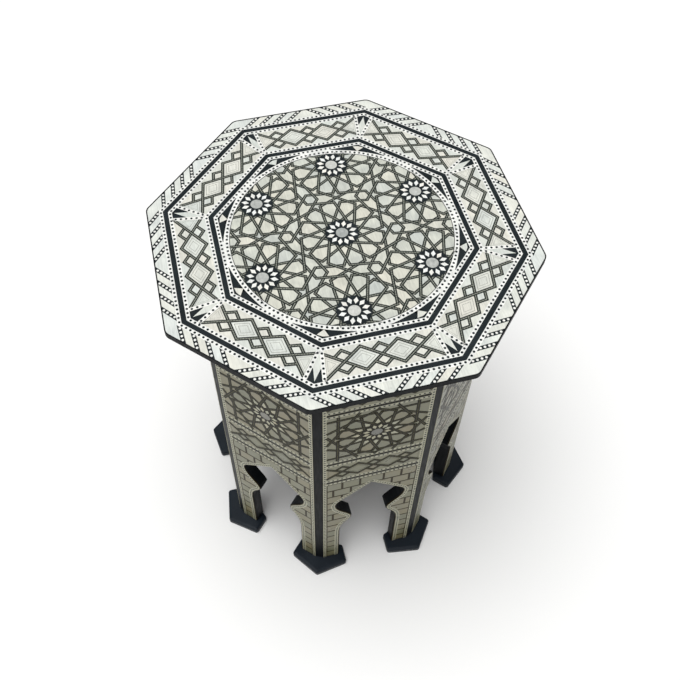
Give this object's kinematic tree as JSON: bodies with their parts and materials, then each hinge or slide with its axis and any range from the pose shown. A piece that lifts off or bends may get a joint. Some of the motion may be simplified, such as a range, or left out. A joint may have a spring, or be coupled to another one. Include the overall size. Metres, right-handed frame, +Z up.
{
  "type": "octagonal stool",
  "caption": "Octagonal inlaid stool with an overhanging top, arched sides between black corner posts, and flat pentagon feet.",
  "frame": {"origin": "on the floor under the centre of the octagon", "axes": "+Z up; the sides of the octagon face multiples of 45 degrees, so side_panel_1 faces +X and side_panel_7 faces -Y, towards the viewer of the picture"},
  "size_m": [0.346, 0.346, 0.45],
  "materials": {
    "black_lacquer": "satin black lacquer",
    "ebony": "satin bluish black",
    "pearl": "lacquered mother-of-pearl and dark filler",
    "pearl_border": "lacquered pale mother-of-pearl",
    "stained_wood": "black stained board",
    "bare_wood": "bare softwood"
  },
  "bodies": {
    "root": {"top_board": "black_lacquer", "top_border_inlay": "pearl_border", "top_outer_band": "ebony", "top_lozenge_inlay": "pearl", "top_inner_band": "ebony", "top_spandrel_inlay": "ebony", "top_medallion_ring": "pearl_border", "top_medallion_field": "pearl", "top_strapwork": "ebony", "medallion_rosette_1": "pearl_border", "medallion_rosette_2": "pearl_border", "medallion_rosette_3": "pearl_border", "medallion_rosette_4": "pearl_border", "medallion_rosette_5": "pearl_border", "medallion_rosette_6": "pearl_border", "medallion_rosette_7": "pearl_border", "top_frame": "bare_wood", "side_panel_1": "stained_wood", "panel_inlay_1": "pearl", "corner_post_1": "black_lacquer", "foot_1": "black_lacquer", "corner_block_1": "bare_wood", "side_panel_2": "stained_wood", "panel_inlay_2": "pearl", "corner_post_2": "black_lacquer", "foot_2": "black_lacquer", "corner_block_2": "bare_wood", "side_panel_3": "stained_wood", "panel_inlay_3": "pearl", "corner_post_3": "black_lacquer", "foot_3": "black_lacquer", "corner_block_3": "bare_wood", "side_panel_4": "stained_wood", "panel_inlay_4": "pearl", "corner_post_4": "black_lacquer", "foot_4": "black_lacquer", "corner_block_4": "bare_wood", "side_panel_5": "stained_wood", "panel_inlay_5": "pearl", "corner_post_5": "black_lacquer", "foot_5": "black_lacquer", "corner_block_5": "bare_wood", "side_panel_6": "stained_wood", "panel_inlay_6": "pearl", "corner_post_6": "black_lacquer", "foot_6": "black_lacquer", "corner_block_6": "bare_wood", "side_panel_7": "stained_wood", "panel_inlay_7": "pearl", "corner_post_7": "black_lacquer", "foot_7": "black_lacquer", "corner_block_7": "bare_wood", "side_panel_8": "stained_wood", "panel_inlay_8": "pearl", "corner_post_8": "black_lacquer", "foot_8": "black_lacquer", "corner_block_8": "bare_wood"}
  },
  "joints": []
}
